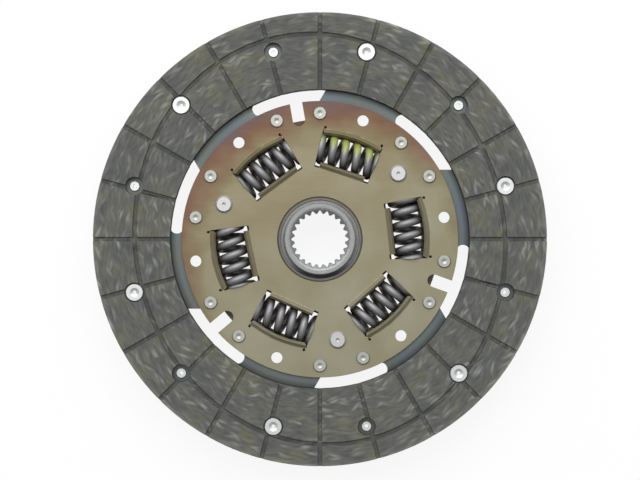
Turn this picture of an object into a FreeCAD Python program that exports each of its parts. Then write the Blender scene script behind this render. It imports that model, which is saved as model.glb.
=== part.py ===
import FreeCAD, Part
import math
import os

import Sketcher
from FreeCAD import Placement, Rotation, Vector

# Clutch disc of a passenger car. It lies on the long end of its hub: the bore axis is Z, the
# origin is the centre of the hub's lower end, and the face that looks at the flywheel is up.

doc = FreeCAD.newDocument("ClutchDisc")
sheet = doc.addObject("Spreadsheet::Sheet", "Sizes")

SIZES = [
    # Heights, and the angles that line the pieces up
    ("facing_mid_height", 24.0, "middle of the friction ring above the hub's lower end"),
    ("hole_angle", 10.0, "direction of the first open hole, degrees from +X"),
    ("web_angle", 30.0, "half the step between two open holes, degrees"),
    ("repeat_count", 6, "open holes, cushion segments and rivets of a kind"),
    ("stop_count", 3, "stop pins, rim notches, and spring windows of each set"),
    ("window_back", 3.6, "first set of windows, degrees before every other open hole"),
    ("window_on", 1.8, "second set of windows, degrees beyond the holes between"),
    ("twist_limit", 6.0, "turn of the disc on its hub, each way, degrees"),
    # Friction facings
    ("facing_outer_d", 212.0, ""),
    ("facing_inner_d", 140.0, ""),
    ("facing_thick", 3.5, ""),
    ("groove_count", 24, "radial dust grooves"),
    ("groove_width", 2.0, ""),
    ("groove_depth", 1.1, ""),
    ("oval_long", 96.2, "half the long axis of the oval groove"),
    ("oval_short", 86.2, "half the short axis of the oval groove"),
    ("oval_angle", 101.0, "direction of the long axis, degrees"),
    ("facing_rivet_r", 90.2, "circle of the facing rivets"),
    ("facing_rivet_offset", 14.0, "degrees to either side of the web angle"),
    ("head_seat_d", 9.1, "counterbore for a rivet's head"),
    ("head_seat_depth", 2.3, ""),
    ("access_hole_d", 8.4, "hole over the tail of a rivet of the other facing"),
    ("facing_rivet_d", 3.6, "shank"),
    ("facing_head_d", 8.5, ""),
    ("facing_head_thick", 1.2, ""),
    ("facing_tail_d", 4.9, ""),
    ("facing_tail_thick", 0.9, ""),
    ("facing_rivet_bore_d", 1.8, "hollow of the shank"),
    ("facing_rivet_sink", 1.3, "width of that hollow's countersink in the head"),
    ("facing_rivet_sink_depth", 0.5, ""),
    ("facing_tail_play", 0.03, "under the tail, for the cushion's slope"),
    ("rivet_clearance", 0.05, "round the shank of every rivet"),
    ("head_edge", 0.4, "width of the bevel round a rivet's head"),
    ("tail_edge", 0.3, "width of the bevel round a rivet's tail"),
    # Cushion segments: thin wavy spring steel between the facings
    ("cushion_thick", 0.8, ""),
    ("cushion_wave", 0.4, "rise and fall of the paddle's middle"),
    ("base_inner_r", 54.5, ""),
    ("base_outer_r", 64.2, ""),
    ("base_gap", 5.8, "between two bases, the same as the rim notch"),
    ("paddle_inner_inset", 0.3, "paddle's inner edge from the facing's"),
    ("paddle_outer_inset", 3.0, "paddle's outer edge from the facing's"),
    ("paddle_gap", 0.9, "between two paddles"),
    ("paddle_shift", 1.75, "paddle's middle behind the base's middle, degrees"),
    ("neck_back_angle", 12.3, "degrees"),
    ("neck_front_angle", 17.6, "degrees"),
    ("neck_flare", 2.9, "how far the neck's front edge runs on at the base, degrees"),
    ("neck_round", 2.9, "rounding at the neck's back edge"),
    ("wave_start_r", 78.0, "where the paddle's wave is fully formed"),
    # Front and rear plates
    ("plate_thick", 1.8, ""),
    ("front_plate_r", 64.7, ""),
    ("front_hole_r", 19.95, ""),
    ("rear_plate_r", 56.6, ""),
    ("rear_hole_r", 18.9, ""),
    ("rim_notch_depth", 11.0, "from the front plate's rim"),
    ("plate_rivet_r", 59.0, "circle of the plate rivets and the open holes"),
    ("plate_rivet_step", 20.0, "degrees between them"),
    ("plate_rivet_d", 4.0, "shank"),
    ("plate_head_d", 6.3, ""),
    ("plate_head_thick", 1.1, ""),
    ("plate_dimple_r", 1.3, "punch mark in the head"),
    ("plate_dimple_depth", 0.35, ""),
    ("open_hole_d", 5.25, ""),
    # Stop pins
    ("stop_pin_r", 47.8, "circle of the stop pins"),
    ("stop_pin_d", 7.0, "shank between the plates"),
    ("stop_tenon_d", 5.0, ""),
    ("stop_head_d", 7.9, ""),
    ("stop_head_thick", 1.3, ""),
    ("stop_head_edge", 0.7, "width of the bevel round the head"),
    ("stop_dimple_r", 0.9, "punch mark in the head"),
    ("stop_dimple_depth", 0.5, ""),
    ("stop_clearance", 0.2, "left between pin and flange at the end of the twist"),
    # Damper springs and their windows
    ("spring_circle_r", 41.4, "circle of the spring axes"),
    ("spring_outer_d", 16.2, ""),
    ("spring_wire_d", 3.7, ""),
    ("spring_turns", 6, ""),
    ("coil_closing", 0.2, "how much closer the end coils lie than the mean"),
    ("spring_grinding", 0.6, "taken off the wire's middle at each end"),
    ("spring_end_play", 0.03, "between a spring's ground end and its window"),
    ("window_half_length", 13.85, "at the spring's axis"),
    ("window_taper", 4.5, "how far each end of a window leans, degrees"),
    ("lip_outer_r", 48.7, "free edge of the front plate's outer lip"),
    ("lip_inner_x", 34.4, "free edge of its inner lip, from the disc's axis"),
    ("rear_lip_reach", 0.75, "how much further the rear plate's lips reach over a spring"),
    ("lip_angle", 40.0, "how far a lip is bent out of its plate, degrees"),
    ("lip_bend_r", 0.6, "inside radius of the bend"),
    ("lip_height", 1.28, "above the plate"),
    ("lip_root", 0.5, "how far a lip's foot runs on into its plate"),
    ("lip_side_gap", 0.9, "between the outer lip's side and the window's end"),
    ("lip_relief_r", 0.9, "round notches at the ends of the outer lip's foot"),
    ("lip_relief_shift", 1.0, "their centres outside that foot"),
    ("inner_lip_setback", 3.5, "inner lip's end from the window's corner"),
    # Hub
    ("hub_top", 5.0, "front end above the middle of the friction ring"),
    ("boss_r", 17.2, ""),
    ("boss_chamfer", 0.9, ""),
    ("journal_r", 18.4, "seat of the front washer's collar"),
    ("journal_height", 2.1, "above the flange"),
    ("flange_thick", 6.0, ""),
    ("flange_r", 54.5, ""),
    ("flange_inner_gap", 0.9, "between a spring and its window's inner edge"),
    ("flange_outer_gap", 0.6, "outside the reach of a spring's ends"),
    ("flange_notch_round", 2.5, ""),
    ("spline_count", 24, ""),
    ("spline_pitch_r", 12.75, ""),
    ("spline_tip_r", 12.1, ""),
    ("spline_root_r", 13.6, ""),
    ("spline_flank", 30.0, "lean of a tooth's flank, degrees"),
    ("spline_phase", 5.0, "from the first open hole to the next tooth gap, degrees"),
    ("bore_chamfer_r", 14.9, ""),
    ("bore_chamfer_depth", 1.7, ""),
    # Friction washers and the cone spring that loads them
    ("washer_thick", 1.5, ""),
    ("washer_r", 28.0, ""),
    ("running_clearance", 0.05, "between a collar and the hub, on the radius"),
    ("collar_set_back", 0.3, "collar's end below the plate's outer face"),
    ("collar_clearance", 0.12, "between a collar and its plate, on the radius"),
    ("cone_thick", 0.8, ""),
    ("cone_inner_r", 19.4, ""),
    ("cone_outer_r", 27.4, ""),
    ("cone_space", 1.0, "between the rear washer and the rear plate"),
]

for row, (alias, number, note) in enumerate(SIZES, start=1):
    sheet.set(f"A{row}", alias)
    sheet.set(f"B{row}", str(number))
    sheet.set(f"C{row}", note)
    sheet.setAlias(f"B{row}", alias)
doc.recompute()


def value(expression):
    """The number that an expression of the sheet's cells gives now."""
    found = sheet.evalExpression(expression)
    return float(getattr(found, "Value", found))


# Heights that several pieces share, above the hub's lower end
CUSHION_TOP = "(Sizes.facing_mid_height + Sizes.cushion_thick / 2)"
CUSHION_UNDER = "(Sizes.facing_mid_height - Sizes.cushion_thick / 2)"
FACING_GAP = "(Sizes.cushion_thick / 2 + Sizes.cushion_wave)"
FLANGE_TOP = f"({CUSHION_TOP} - Sizes.washer_thick)"
FLANGE_UNDER = f"({FLANGE_TOP} - Sizes.flange_thick)"
REAR_WASHER_UNDER = f"({FLANGE_UNDER} - Sizes.washer_thick)"
REAR_PLATE_TOP = f"({REAR_WASHER_UNDER} - Sizes.cone_space)"
SPRING_HEIGHT = f"({FLANGE_TOP} - Sizes.flange_thick / 2)"

# Pieces that fit round the same features
FACING_RIVET_HOLE_R = "(Sizes.facing_rivet_d / 2 + Sizes.rivet_clearance)"
PLATE_RIVET_HOLE_R = "(Sizes.plate_rivet_d / 2 + Sizes.rivet_clearance)"
STOP_HOLE_R = "(Sizes.stop_tenon_d / 2 + Sizes.rivet_clearance)"
HEAD_ANGLE = "(Sizes.web_angle - Sizes.facing_rivet_offset)"
ACCESS_ANGLE = "(Sizes.web_angle + Sizes.facing_rivet_offset)"
PADDLE_INNER_R = "(Sizes.facing_inner_d / 2 + Sizes.paddle_inner_inset)"
PADDLE_OUTER_R = "(Sizes.facing_outer_d / 2 - Sizes.paddle_outer_inset)"

# The spring windows come in two sets of three. These turns lead from the first open hole to the
# first window of each set.
WINDOW_TURNS = ("(-Sizes.window_back)", "(Sizes.web_angle * 2 + Sizes.window_on)")


def polar(radius, angle):
    """Expressions for the point at that radius and angle, in degrees."""
    return f"({radius}) * cos({angle})", f"({radius}) * sin({angle})"


def end_line(x):
    """Half the length of a spring window at the distance x from the disc's axis."""
    return f"(Sizes.window_half_length + ({x} - Sizes.spring_circle_r) * tan(Sizes.window_taper))"


def corner_angle(radius):
    """Angle at which a window's end line crosses the circle of that radius."""
    offset = "(Sizes.window_half_length - Sizes.spring_circle_r * tan(Sizes.window_taper))"
    lean = "(Sizes.window_taper * 1 deg)"
    return f"({lean} + asin({offset} * cos({lean}) / ({radius})))"


def new_body(label):
    body = doc.addObject("PartDesign::Body", label)
    body.Label = label
    return body


def origin_feature(body, role):
    return next(f for f in body.Origin.OriginFeatures if f.Role == role)


def new_sketch(body, name, plane="XY_Plane", lift=None, turn=None):
    """A sketch on one of the body's own origin planes, lifted off it or turned about the
    disc's axis."""
    sketch = body.newObject("Sketcher::SketchObject", name)
    sketch.AttachmentSupport = [(origin_feature(body, plane), "")]
    sketch.MapMode = "FlatFace"
    if lift:
        sketch.setExpression("AttachmentOffset.Base.z", lift)
    if turn:
        upright = Vector(0, 0, 1) if plane == "XY_Plane" else Vector(0, 1, 0)
        sketch.AttachmentOffset = Placement(Vector(), Rotation(upright, 1))
        sketch.setExpression("AttachmentOffset.Rotation.Angle", turn)
    return sketch


def bind_point(sketch, shape, end, x, y):
    """Fix a point of the sketch by two expressions measured from its origin."""
    for kind, place in (("DistanceX", x), ("DistanceY", y)):
        index = sketch.addConstraint(
            Sketcher.Constraint(kind, -1, 1, shape, end, value(place))
        )
        sketch.setExpression(f"Constraints[{index}]", place)


def bind_radius(sketch, shape, radius):
    index = sketch.addConstraint(Sketcher.Constraint("Radius", shape, value(radius)))
    sketch.setExpression(f"Constraints[{index}]", radius)


def add_circle(sketch, radius, x="0", y="0"):
    centre = Vector(value(x), value(y), 0)
    shape = sketch.addGeometry(Part.Circle(centre, Vector(0, 0, 1), value(radius)), False)
    bind_radius(sketch, shape, radius)
    if (x, y) == ("0", "0"):
        sketch.addConstraint(Sketcher.Constraint("Coincident", shape, 3, -1, 1))
    else:
        bind_point(sketch, shape, 3, x, y)


def arc_centre(start, end, radius, left):
    """Centre of the short arc from start to end, which turns left or right as it goes."""
    chord = end - start
    rise = math.sqrt(max(radius**2 - (chord.Length / 2) ** 2, 0.0))
    side = Vector(-chord.y, chord.x, 0).normalize()
    return (start + end) / 2 + side * (rise if left else -rise)


def add_outline(sketch, corners):
    """A closed outline. A corner is (x, y), or (x, y, radius, "left" or "right") where an arc
    leads on from it to the next corner."""
    points = [Vector(value(c[0]), value(c[1]), 0) for c in corners]
    ends = []
    for i, corner in enumerate(corners):
        start, end = points[i], points[(i + 1) % len(points)]
        if len(corner) == 2:
            shape = sketch.addGeometry(Part.LineSegment(start, end), False)
            ends.append((shape, 1, 2))
            continue
        radius, left = value(corner[2]), corner[3] == "left"
        centre = arc_centre(start, end, radius, left)
        first, last = (start, end) if left else (end, start)
        angles = [math.atan2(p.y - centre.y, p.x - centre.x) for p in (first, last)]
        if angles[1] < angles[0]:
            angles[1] += 2 * math.pi
        circle = Part.Circle(centre, Vector(0, 0, 1), radius)
        shape = sketch.addGeometry(Part.ArcOfCircle(circle, *angles), False)
        bind_radius(sketch, shape, corner[2])
        ends.append((shape, 1, 2) if left else (shape, 2, 1))
    for i, corner in enumerate(corners):
        shape, start, _ = ends[i]
        before, _, end = ends[i - 1]
        sketch.addConstraint(Sketcher.Constraint("Coincident", before, end, shape, start))
        bind_point(sketch, shape, start, corner[0], corner[1])


def checked(body, feature, grows):
    """Rebuild, and stop if the feature didn't add or remove material."""
    before = 0.0 if body.Shape.isNull() else body.Shape.Volume
    doc.recompute()
    change = body.Shape.Volume - before
    if (change > 0) != grows or abs(change) < 1e-6:
        raise RuntimeError(f"{body.Label}: {feature.Name} changed the volume by {change}")
    return feature


def add_pad(body, sketch, length, midplane=False):
    pad = body.newObject("PartDesign::Pad", sketch.Name + "Pad")
    pad.Profile = sketch
    pad.setExpression("Length", length)
    pad.Midplane = midplane
    return checked(body, pad, True)


def add_pocket(body, sketch, depth=None):
    """Cut down from the sketch, to the depth given or right through."""
    pocket = body.newObject("PartDesign::Pocket", sketch.Name + "Pocket")
    pocket.Profile = sketch
    if depth:
        pocket.setExpression("Length", depth)
    else:
        pocket.Type = "ThroughAll"
    return checked(body, pocket, False)


def add_revolution(body, sketch, angle="360", midplane=False):
    turned = body.newObject("PartDesign::Revolution", sketch.Name + "Revolution")
    turned.Profile = sketch
    turned.ReferenceAxis = (sketch, ["V_Axis"])
    turned.setExpression("Angle", angle)
    turned.Midplane = midplane
    return checked(body, turned, True)


def repeat(body, feature, count, grows=False):
    """Copies of the last feature, evenly round the disc's axis."""
    pattern = body.newObject("PartDesign::PolarPattern", feature.Name + "Pattern")
    pattern.Originals = [feature]
    pattern.Axis = (origin_feature(body, "Z_Axis"), [""])
    pattern.Angle = 360
    pattern.setExpression("Occurrences", count)
    body.Tip = pattern
    return checked(body, pattern, grows)


def place_body(body, height=None, turn="Sizes.hole_angle", flip=False):
    """Turn a piece about the disc's axis, after laying it face down if it is a rear piece."""
    turned = Rotation(Vector(0, 0, 1), value(turn))
    if flip:
        turned = turned * Rotation(Vector(1, 0, 0), 180)
    body.Placement = Placement(Vector(0, 0, 0), turned)
    if height:
        body.setExpression("Placement.Base.z", height)


def revolved_piece(label, section):
    """A round piece turned from one closed section of (radius, height) corners."""
    body = new_body(label)
    sketch = new_sketch(body, label + "Section", "XZ_Plane")
    add_outline(sketch, section)
    add_revolution(body, sketch)
    return body


def add_facing(label, flip):
    """A moulded friction ring. Its dust grooves and rivet seats open on the friction face."""
    body = new_body(label)
    top = "Sizes.facing_thick"
    ring = new_sketch(body, label + "Ring")
    add_circle(ring, "Sizes.facing_outer_d / 2")
    add_circle(ring, "Sizes.facing_inner_d / 2")
    add_pad(body, ring, top)

    groove = new_sketch(body, label + "Groove", lift=top)
    near, far = "(Sizes.facing_inner_d / 2 - 1)", "(Sizes.facing_outer_d / 2 + 1)"
    half = "Sizes.groove_width / 2"
    add_outline(groove, [(near, f"-{half}"), (far, f"-{half}"), (far, half), (near, half)])
    cut = add_pocket(body, groove, "Sizes.groove_depth")
    repeat(body, cut, "Sizes.groove_count")

    oval = new_sketch(body, label + "Oval", lift=top, turn="Sizes.oval_angle")
    for side in ("+", "-"):
        long, short = f"Sizes.oval_long {side} {half}", f"Sizes.oval_short {side} {half}"
        add_ellipse(oval, long, short)
    add_pocket(body, oval, "Sizes.groove_depth")

    for name, radius, depth, angle in (
        ("Seat", "Sizes.head_seat_d / 2", "Sizes.head_seat_depth", HEAD_ANGLE),
        ("RivetHole", FACING_RIVET_HOLE_R, None, HEAD_ANGLE),
        ("AccessHole", "Sizes.access_hole_d / 2", None, ACCESS_ANGLE),
    ):
        hole = new_sketch(body, label + name, lift=top)
        add_circle(hole, radius, *polar("Sizes.facing_rivet_r", angle))
        repeat(body, add_pocket(body, hole, depth), "Sizes.repeat_count")
    height = f"Sizes.facing_mid_height {'-' if flip else '+'} {FACING_GAP}"
    place_body(body, height, turn="0", flip=flip)
    return body


def add_ellipse(sketch, long, short):
    """An ellipse on the sketch's own axes, fixed by the ends of both of its axes."""
    ends = [Vector(value(long), 0, 0), Vector(0, value(short), 0), Vector(0, 0, 0)]
    shape = sketch.addGeometry(Part.Ellipse(*ends), False)
    sketch.exposeInternalGeometry(shape)
    sketch.addConstraint(Sketcher.Constraint("Coincident", shape, 3, -1, 1))
    major, minor = shape + 1, shape + 2
    sketch.addConstraint(Sketcher.Constraint("Horizontal", major))
    for axis, length in ((major, long), (minor, short)):
        index = sketch.addConstraint(
            Sketcher.Constraint("Distance", axis, 1, axis, 2, 2 * value(length))
        )
        sketch.setExpression(f"Constraints[{index}]", f"2 * ({length})")


def lip_section(edge, sign):
    """Section of a window's lip, as (distance, height) corners. edge is its free edge, and the
    sheet runs from there to its plate, outwards (sign +) or inwards (sign -)."""
    thick, bend, lean = "Sizes.plate_thick", "Sizes.lip_bend_r", "Sizes.lip_angle"
    rise = f"((Sizes.lip_height - {bend} * (1 - cos({lean}))) / sin({lean}))"
    under = f"(({bend} + {thick}) * sin({lean}) + {rise} * cos({lean}))"
    over = f"({bend} * sin({lean}) + {rise} * cos({lean}))"
    foot = f"({edge} {sign} {under})"
    back = "-" if sign == "+" else "+"
    turn_over, turn_under = ("left", "right") if sign == "+" else ("right", "left")
    bend_height = f"{thick} + {bend} * (1 - cos({lean}))"
    under_height = f"({bend} + {thick}) * (1 - cos({lean}))"
    lip_top = f"{thick} + Sizes.lip_height"
    return foot, [
        (f"{foot} {sign} Sizes.lip_root", "0"),
        (foot, "0", f"{bend} + {thick}", turn_under),
        (f"{foot} {back} ({bend} + {thick}) * sin({lean})", under_height),
        (f"{foot} {back} {under}", f"{under_height} + {rise} * sin({lean})"),
        (f"{foot} {back} {over}", lip_top),
        (f"{foot} {back} {bend} * sin({lean})", bend_height, bend, turn_over),
        (foot, thick),
        (f"{foot} {sign} Sizes.lip_root", thick),
    ]


def add_windows(body, label, sense, reach):
    """Spring windows of a plate, with the lips that hold the springs bent out of the sheet.
    sense is "+", or "-" for a plate that will be turned over, and reach is how much further
    than the front plate's its lips reach."""
    top = "Sizes.plate_thick"
    inner_edge = f"(Sizes.lip_inner_x + {reach})"
    outer_foot, outer_lip = lip_section(f"(Sizes.lip_outer_r - {reach})", "+")
    inner_foot, inner_lip = lip_section(inner_edge, "-")
    corner = corner_angle(outer_foot)
    for number, window_turn in enumerate(WINDOW_TURNS, start=1):
        name, turn = f"{label}{number}", f"{sense}{window_turn}"
        window = new_sketch(body, name + "Window", lift=top, turn=turn)
        add_outline(
            window,
            [
                (inner_foot, f"-{end_line(inner_foot)}"),
                (*polar(outer_foot, f"-{corner}"), outer_foot, "left"),
                polar(outer_foot, corner),
                (inner_foot, end_line(inner_foot)),
            ],
        )
        repeat(body, add_pocket(body, window), "Sizes.stop_count")

        lip = new_sketch(body, name + "OuterLip", "XZ_Plane", turn=turn)
        add_outline(lip, outer_lip)
        trim = f"asin(Sizes.lip_side_gap / ({outer_foot}))"
        turned = add_revolution(body, lip, f"2 * {corner} - 2 * {trim}", midplane=True)
        repeat(body, turned, "Sizes.stop_count", grows=True)

        lip = new_sketch(body, name + "InnerLip", "XZ_Plane", turn=turn)
        add_outline(lip, inner_lip)
        width = f"2 * ({end_line(inner_edge)} - Sizes.inner_lip_setback)"
        folded = add_pad(body, lip, width, midplane=True)
        repeat(body, folded, "Sizes.stop_count", grows=True)

        relief = new_sketch(body, name + "Relief", lift=f"{top} + Sizes.lip_height", turn=turn)
        x, y = polar(f"({outer_foot} + Sizes.lip_relief_shift)", corner)
        for side in ("", "-"):
            add_circle(relief, "Sizes.lip_relief_r", x, f"{side}({y} - Sizes.lip_relief_r)")
        repeat(body, add_pocket(body, relief), "Sizes.stop_count")


def add_round_holes(body, name, radius, circle_r, angle, count, lift):
    hole = new_sketch(body, name, lift=lift)
    add_circle(hole, radius, *polar(circle_r, angle))
    repeat(body, add_pocket(body, hole), count)


def add_plate(label, outer_r, hole_r, sense="+", reach="0"):
    """A pressed steel plate with its spring windows and the holes of the stop pins."""
    body = new_body(label)
    top = "Sizes.plate_thick"
    blank = new_sketch(body, label + "Blank")
    add_circle(blank, outer_r)
    add_circle(blank, hole_r)
    add_pad(body, blank, top)
    add_windows(body, label, sense, reach)
    stops = (STOP_HOLE_R, "Sizes.stop_pin_r", f"{sense}Sizes.web_angle", "Sizes.stop_count", top)
    add_round_holes(body, label + "StopHole", *stops)
    return body


def add_front_plate():
    """The plate that carries the cushion segments, with three notches in its rim."""
    body = add_plate("front_plate", "Sizes.front_plate_r", "Sizes.front_hole_r")
    top = "Sizes.plate_thick"
    for step in (1, 2):
        angle = f"{step} * Sizes.plate_rivet_step"
        rivets = (PLATE_RIVET_HOLE_R, "Sizes.plate_rivet_r", angle, "Sizes.repeat_count", top)
        add_round_holes(body, f"RivetHole{step}", *rivets)
    opens = ("Sizes.open_hole_d / 2", "Sizes.plate_rivet_r", "0", "Sizes.repeat_count", top)
    add_round_holes(body, "OpenHole", *opens)

    notch = new_sketch(body, "RimNotch", lift=top, turn="-Sizes.web_angle")
    half = "Sizes.base_gap / 2"
    bottom = f"(Sizes.front_plate_r - Sizes.rim_notch_depth + {half})"
    outside = "Sizes.front_plate_r + 1"
    add_outline(
        notch,
        [
            (outside, half),
            (bottom, half, f"{half} * 1.0001", "left"),
            (bottom, f"-{half}"),
            (outside, f"-{half}"),
        ],
    )
    repeat(body, add_pocket(body, notch), "Sizes.stop_count")
    place_body(body, CUSHION_TOP)
    return body


def add_rear_plate():
    """The smaller plate behind the hub's flange, held only by the stop pins."""
    outline = ("Sizes.rear_plate_r", "Sizes.rear_hole_r")
    body = add_plate("rear_plate", *outline, sense="-", reach="Sizes.rear_lip_reach")
    place_body(body, REAR_PLATE_TOP, flip=True)
    return body


def add_hub():
    """Splined hub and its flange, forged in one piece."""
    top = "(Sizes.facing_mid_height + Sizes.hub_top)"
    shoulder = f"({FLANGE_TOP} + Sizes.journal_height)"
    chamfer = "Sizes.boss_chamfer"
    section = [
        ("Sizes.spline_tip_r", "Sizes.bore_chamfer_depth"),
        ("Sizes.bore_chamfer_r", "0"),
        (f"Sizes.boss_r - {chamfer}", "0"),
        ("Sizes.boss_r", chamfer),
        ("Sizes.boss_r", FLANGE_UNDER),
        ("Sizes.flange_r", FLANGE_UNDER),
        ("Sizes.flange_r", FLANGE_TOP),
        ("Sizes.journal_r", FLANGE_TOP),
        ("Sizes.journal_r", shoulder),
        ("Sizes.boss_r", shoulder),
        ("Sizes.boss_r", f"{top} - {chamfer}"),
        (f"Sizes.boss_r - {chamfer}", top),
        ("Sizes.bore_chamfer_r", top),
        ("Sizes.spline_tip_r", f"{top} - Sizes.bore_chamfer_depth"),
    ]
    body = revolved_piece("hub", section)

    gap = new_sketch(body, "SplineGap", lift=top, turn="Sizes.spline_phase")
    inside = "(Sizes.spline_tip_r - 0.6)"
    root = "Sizes.spline_root_r"
    pitch_half = "(Sizes.spline_pitch_r * sin(90 / Sizes.spline_count))"

    def half_gap(radius):
        return f"({pitch_half} - ({radius} - Sizes.spline_pitch_r) * tan(Sizes.spline_flank))"

    add_outline(
        gap,
        [
            (inside, f"-{half_gap(inside)}"),
            (root, f"-{half_gap(root)}"),
            (root, half_gap(root)),
            (inside, half_gap(inside)),
        ],
    )
    repeat(body, add_pocket(body, gap), "Sizes.spline_count")

    spring_r = "Sizes.spring_outer_d / 2"
    inner = f"(Sizes.spring_circle_r - {spring_r} - Sizes.flange_inner_gap)"
    reach = f"hypot(Sizes.spring_circle_r + {spring_r}; Sizes.window_half_length)"
    outer = f"({reach} + Sizes.flange_outer_gap)"
    corner = corner_angle(outer)
    for number, turn in enumerate(WINDOW_TURNS, start=1):
        window = new_sketch(body, f"FlangeWindow{number}", lift=FLANGE_TOP, turn=turn)
        add_outline(
            window,
            [
                (inner, f"-{end_line(inner)}"),
                (*polar(outer, f"-{corner}"), outer, "left"),
                polar(outer, corner),
                (inner, end_line(inner)),
            ],
        )
        repeat(body, add_pocket(body, window, "Sizes.flange_thick"), "Sizes.stop_count")

    notch = new_sketch(body, "StopNotch", lift=FLANGE_TOP, turn="Sizes.web_angle")
    pin = "(Sizes.stop_pin_d / 2 + Sizes.stop_clearance)"
    half = f"(Sizes.stop_pin_r * sin(Sizes.twist_limit) + {pin})"
    bottom = f"(Sizes.stop_pin_r * cos(Sizes.twist_limit) - {pin})"
    outside, curve = "Sizes.flange_r + 1", "Sizes.flange_notch_round"
    add_outline(
        notch,
        [
            (outside, half),
            (f"{bottom} + {curve}", half, curve, "left"),
            (bottom, f"{half} - {curve}"),
            (bottom, f"{curve} - {half}", curve, "left"),
            (f"{bottom} + {curve}", f"-{half}"),
            (outside, f"-{half}"),
        ],
    )
    repeat(body, add_pocket(body, notch, "Sizes.flange_thick"), "Sizes.stop_count")
    place_body(body)
    return body


def add_washers():
    """Two friction washers whose collars run on the hub, and the cone spring behind one."""
    collar_top = f"{CUSHION_TOP} + Sizes.plate_thick - Sizes.collar_set_back"
    inside = "Sizes.journal_r + Sizes.running_clearance"
    outside = "Sizes.front_hole_r - Sizes.collar_clearance"
    front = revolved_piece(
        "front_friction_washer",
        [
            (inside, FLANGE_TOP),
            ("Sizes.washer_r", FLANGE_TOP),
            ("Sizes.washer_r", CUSHION_TOP),
            (outside, CUSHION_TOP),
            (outside, collar_top),
            (inside, collar_top),
        ],
    )
    collar_end = f"{REAR_PLATE_TOP} - Sizes.plate_thick + Sizes.collar_set_back"
    inside = "Sizes.boss_r + Sizes.running_clearance"
    outside = "Sizes.rear_hole_r - Sizes.collar_clearance"
    rear = revolved_piece(
        "rear_friction_washer",
        [
            (inside, collar_end),
            (outside, collar_end),
            (outside, REAR_WASHER_UNDER),
            ("Sizes.washer_r", REAR_WASHER_UNDER),
            ("Sizes.washer_r", FLANGE_UNDER),
            (inside, FLANGE_UNDER),
        ],
    )
    cone = revolved_piece(
        "cone_spring",
        [
            ("Sizes.cone_inner_r", f"{REAR_WASHER_UNDER} - Sizes.cone_thick"),
            ("Sizes.cone_outer_r", REAR_PLATE_TOP),
            ("Sizes.cone_outer_r", f"{REAR_PLATE_TOP} + Sizes.cone_thick"),
            ("Sizes.cone_inner_r", REAR_WASHER_UNDER),
        ],
    )
    return [front, rear, cone]


def add_set(label, master, places):
    """Identical fasteners: one solid for each placement, in one piece of the document."""
    group = doc.addObject("Part::Feature", label)
    group.Label = label
    copies = []
    for place in places:
        copy = master.Shape.copy()
        copy.Placement = place * copy.Placement
        copies.append(copy)
    group.Shape = Part.makeCompound(copies)
    return group


def round_places(radius, angles, flip_height=None):
    """Placements on a circle. With a flip height each is turned over about that height."""
    places = []
    for angle in angles:
        spot = Placement(Vector(), Rotation(Vector(0, 0, 1), angle))
        spot = spot * Placement(Vector(radius, 0, 0), Rotation())
        if flip_height is not None:
            over = Rotation(Vector(1, 0, 0), 180)
            spot = spot * Placement(Vector(0, 0, 2 * flip_height), over)
        places.append(spot)
    return places


def around(first, count):
    return [first + 360.0 * i / count for i in range(count)]


def add_facing_rivets():
    """Tubular rivets: a wide head in the facing's seat, and a tail on the cushion's far side."""
    land = (
        f"Sizes.facing_mid_height + {FACING_GAP} + Sizes.facing_thick - Sizes.head_seat_depth"
    )
    cushion_under = f"Sizes.facing_mid_height + {FACING_GAP} - Sizes.cushion_thick"
    tail_top = f"{cushion_under} - Sizes.facing_tail_play"
    shank = "Sizes.facing_rivet_d / 2"
    bore = "Sizes.facing_rivet_bore_d / 2"
    head_top = f"{land} + Sizes.facing_head_thick"
    tail_end = f"{tail_top} - Sizes.facing_tail_thick"
    head, tail = "Sizes.facing_head_d / 2", "Sizes.facing_tail_d / 2"
    master = revolved_piece(
        "facing_rivet_master",
        [
            (bore, tail_end),
            (f"{tail} - Sizes.tail_edge", tail_end),
            (tail, f"{tail_top} - Sizes.facing_tail_thick / 2"),
            (tail, tail_top),
            (shank, tail_top),
            (shank, land),
            (head, land),
            (head, f"{land} + Sizes.facing_head_thick * 0.6"),
            (f"{head} - Sizes.head_edge", head_top),
            (f"{bore} + Sizes.facing_rivet_sink", head_top),
            (bore, f"{head_top} - Sizes.facing_rivet_sink_depth"),
        ],
    )
    circle, count = value("Sizes.facing_rivet_r"), int(value("Sizes.repeat_count"))
    middle = value("Sizes.facing_mid_height")
    front = round_places(circle, around(value(HEAD_ANGLE), count))
    rear = round_places(circle, around(value(ACCESS_ANGLE), count), middle)
    return [
        add_set("facing_rivets_front", master, front),
        add_set("facing_rivets_rear", master, rear),
    ]


def add_plate_rivets():
    """Solid rivets that hold the bases of the cushion segments to the front plate."""
    top = f"({CUSHION_TOP} + Sizes.plate_thick)"
    shank, head = "Sizes.plate_rivet_d / 2", "Sizes.plate_head_d / 2"
    thick = "Sizes.plate_head_thick"
    master = revolved_piece(
        "plate_rivet_master",
        [
            ("0", f"{CUSHION_UNDER} - {thick}"),
            (f"{head} - Sizes.tail_edge", f"{CUSHION_UNDER} - {thick}"),
            (head, f"{CUSHION_UNDER} - {thick} / 2"),
            (head, CUSHION_UNDER),
            (shank, CUSHION_UNDER),
            (shank, top),
            (head, top),
            (head, f"{top} + {thick} / 2"),
            (f"{head} - Sizes.head_edge", f"{top} + {thick}"),
            ("Sizes.plate_dimple_r", f"{top} + {thick}"),
            ("0", f"{top} + {thick} - Sizes.plate_dimple_depth"),
        ],
    )
    count, step = int(value("Sizes.repeat_count")), value("Sizes.plate_rivet_step")
    first = value("Sizes.hole_angle")
    angles = around(first + step, count) + around(first + 2 * step, count)
    places = round_places(value("Sizes.plate_rivet_r"), angles)
    return add_set("plate_rivets", master, places)


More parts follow.
